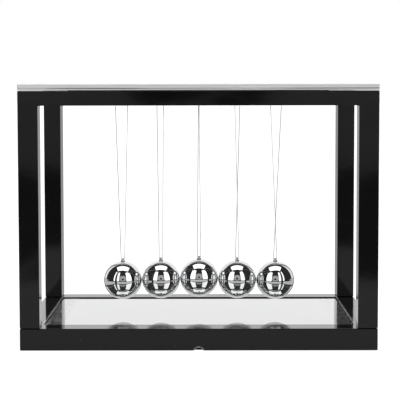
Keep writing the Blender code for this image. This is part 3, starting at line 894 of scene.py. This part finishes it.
def card(name, middle, across, up, strength, power=SQUARE_POWER):
    """A flat light: two half-width vectors from its middle, and its brightness. Its outline is
    middle + |cos a|^p across + |sin a|^p up, signed by quarter; it is squarer as p falls."""
    middle, across, up = (np.array(v, float) for v in (middle, across, up))
    a = np.linspace(0, 2 * np.pi, CARD_POINTS, endpoint=False) + np.pi / CARD_POINTS
    x = np.sign(np.cos(a)) * np.abs(np.cos(a)) ** power
    z = np.sign(np.sin(a)) * np.abs(np.sin(a)) ** power
    corners = middle + x[:, None] * across + z[:, None] * up
    obj = sheet(name, corners.tolist())
    glow = bpy.data.materials.new(name)
    glow.use_nodes = True
    shader = glow.node_tree.nodes["Principled BSDF"]
    shader.inputs["Base Color"].default_value = (0, 0, 0, 1)
    shader.inputs["Specular IOR Level"].default_value = 0.0
    shader.inputs["Emission Color"].default_value = (1, 1, 1, 1)
    shader.inputs["Emission Strength"].default_value = strength
    obj.data.materials.append(glow)
    obj.visible_camera = False
    obj.visible_shadow = False


def studio_lights():
    """Two tall windows in front, one wide light overhead, a grey wall far in front with a dark
    round patch before it. The windows face the middle: across is square to the way there."""
    half = WINDOW_DISTANCE * math.tan(WINDOW_HALF_ANGLE)
    aside, ahead = math.sin(WINDOW_AZIMUTH), math.cos(WINDOW_AZIMUTH)
    for side, sign in (("left", -1), ("right", 1)):
        middle = (sign * WINDOW_DISTANCE * aside, -WINDOW_DISTANCE * ahead, WINDOW_MIDDLE)
        across = (half * ahead, sign * half * aside, 0)
        card(f"window_{side}", middle, across, (0, 0, WINDOW_HALF_HEIGHT), WINDOW)
    card("overhead", *OVERHEAD_CARD, OVERHEAD)
    card("grey_wall", *GREY_WALL_CARD, GREY_WALL, ROUND_POWER)
    card("dark_lens", *DARK_LENS_CARD, 0.0, ROUND_POWER)


def floor():
    """A large ground: white where it is seen directly, and for the light that falls on the object a
    pale table under and behind it, with dark round about."""
    turns = ((-1, -1), (1, -1), (1, 1), (-1, 1))
    obj = sheet("floor", [(x * FLOOR_REACH, y * FLOOR_REACH, 0) for x, y in turns])
    made, tree, shader, place = material("floor_paint", Roughness=0.6)
    shader.inputs["Specular IOR Level"].default_value = 0.2
    shader.inputs["Emission Color"].default_value = (1, 1, 1, 1)
    seen = tree.nodes.new("ShaderNodeLightPath").outputs["Is Camera Ray"]
    away = put(tree, "ShaderNodeVectorMath", {"operation": "LENGTH"}, Vector=place).outputs["Value"]
    under = between(tree, away, TABLE_REACH, TABLE_REACH + TABLE_FADE, 1.0, 0.0)
    behind = between(tree, axes(tree, place)["Y"], *TABLE_BACK)
    table = sums(tree, "MAXIMUM", under, behind)
    lit = sums(tree, "MULTIPLY", table, TABLE_GLOW)
    wire(tree, sums(tree, "MAXIMUM", lit, seen), shader.inputs["Emission Strength"])
    pale = sums(tree, "MULTIPLY", table, patches(tree, place, size=8.0, least=0.9, high=0.7))
    paint(tree, shader, pale, plain=(0.01, 0.01, 0.01), marked=(0.3, 0.3, 0.3))
    obj.data.materials.append(made)


def room():
    """White towards the back, dark elsewhere; what is seen directly is white all round."""
    world = bpy.data.worlds.new("room")
    bpy.context.scene.world = world
    world.use_nodes = True
    tree = world.node_tree
    light = tree.nodes["Background"]
    along = axes(tree, tree.nodes.new("ShaderNodeTexCoord").outputs["Generated"])["Y"]
    back = between(tree, along, BACK_STARTS, BACK_FULL, ROOM, BACKDROP)
    seen = tree.nodes.new("ShaderNodeLightPath").outputs["Is Camera Ray"]
    tree.links.new(sums(tree, "MAXIMUM", back, seen), light.inputs["Strength"])
    light.inputs["Color"].default_value = (1, 1, 1, 1)
    bpy.context.scene.view_settings.view_transform = "Standard"


# ---------------------------------------------------------------- making

ball_x = []
for ball_number in range(1, BALL_COUNT + 1):
    ball_low, ball_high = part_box(f"ball_{ball_number}")
    ball_x.append((ball_low[0] + ball_high[0]) / 2)
arch_low, arch_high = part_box("rear_arch")
anchor_y = (arch_low[1] + arch_high[1]) / 2
axis_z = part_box("knot_rear_1")[0][2] - GAP

handling, grain, peel = handling_group(), grain_group(), peel_group()
groove_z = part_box("front_rail_cap")[1][2] - CAP_HEIGHT + CAP_LIP + CAP_GROOVE_HEIGHT / 2
mirror_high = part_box("mirror_plate")[1]
mirror_x = mirror_high[0]
rim_x, rim_y = mirror_high[0] + GAP, mirror_high[1] + GAP
rim_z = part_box("base_frame")[1][2]
camera()
room()
floor()
studio_lights()

black = gloss_black("gloss_black")
silver = satin_silver()
steel = polished_steel()
clear_line = nylon_line()
turned = small_steel("eye_steel", (0.5, 0.5, 0.505), (0.62, 0.62, 0.625), rough=0.25)
plated = small_steel("screw_steel", (0.42, 0.41, 0.39), (0.6, 0.59, 0.57), rough=0.3)
rubber = soft_stuff("pad_rubber", (0.012, 0.012, 0.012), (0.025, 0.025, 0.026), 0.8, size=2500.0)
foam = soft_stuff("foam_tape", (0.7, 0.7, 0.68), (0.85, 0.85, 0.83), 0.9, size=4000.0)

finishes = {"base_frame": gloss_black("black_painted_highlights", with_highlights=True), "bottom_cover": matte_black()}
finishes.update({f"mirror_tape_{side}": foam for side in ("left", "right")})
finishes.update({f"{kind}_screw_{corner}": plated for kind in ("arch", "cover") for corner in CORNERS})
for node_name, node_finish in finishes.items():
    paint_mesh(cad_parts[node_name].data, node_finish)

for side_name, side_sign in SIDES:
    arch(side_name, side_sign, black)
    rail_cap(side_name, silver)
mirror(mirror_glass())
for corner_name in CORNERS:
    foot_pad(corner_name, rubber)
for ball_number in range(1, BALL_COUNT + 1):
    ball(ball_number, steel)
    eye(ball_number, turned)
    strand(ball_number, clear_line)
    for side_name, side_sign in SIDES:
        knot(side_name, ball_number, clear_line)
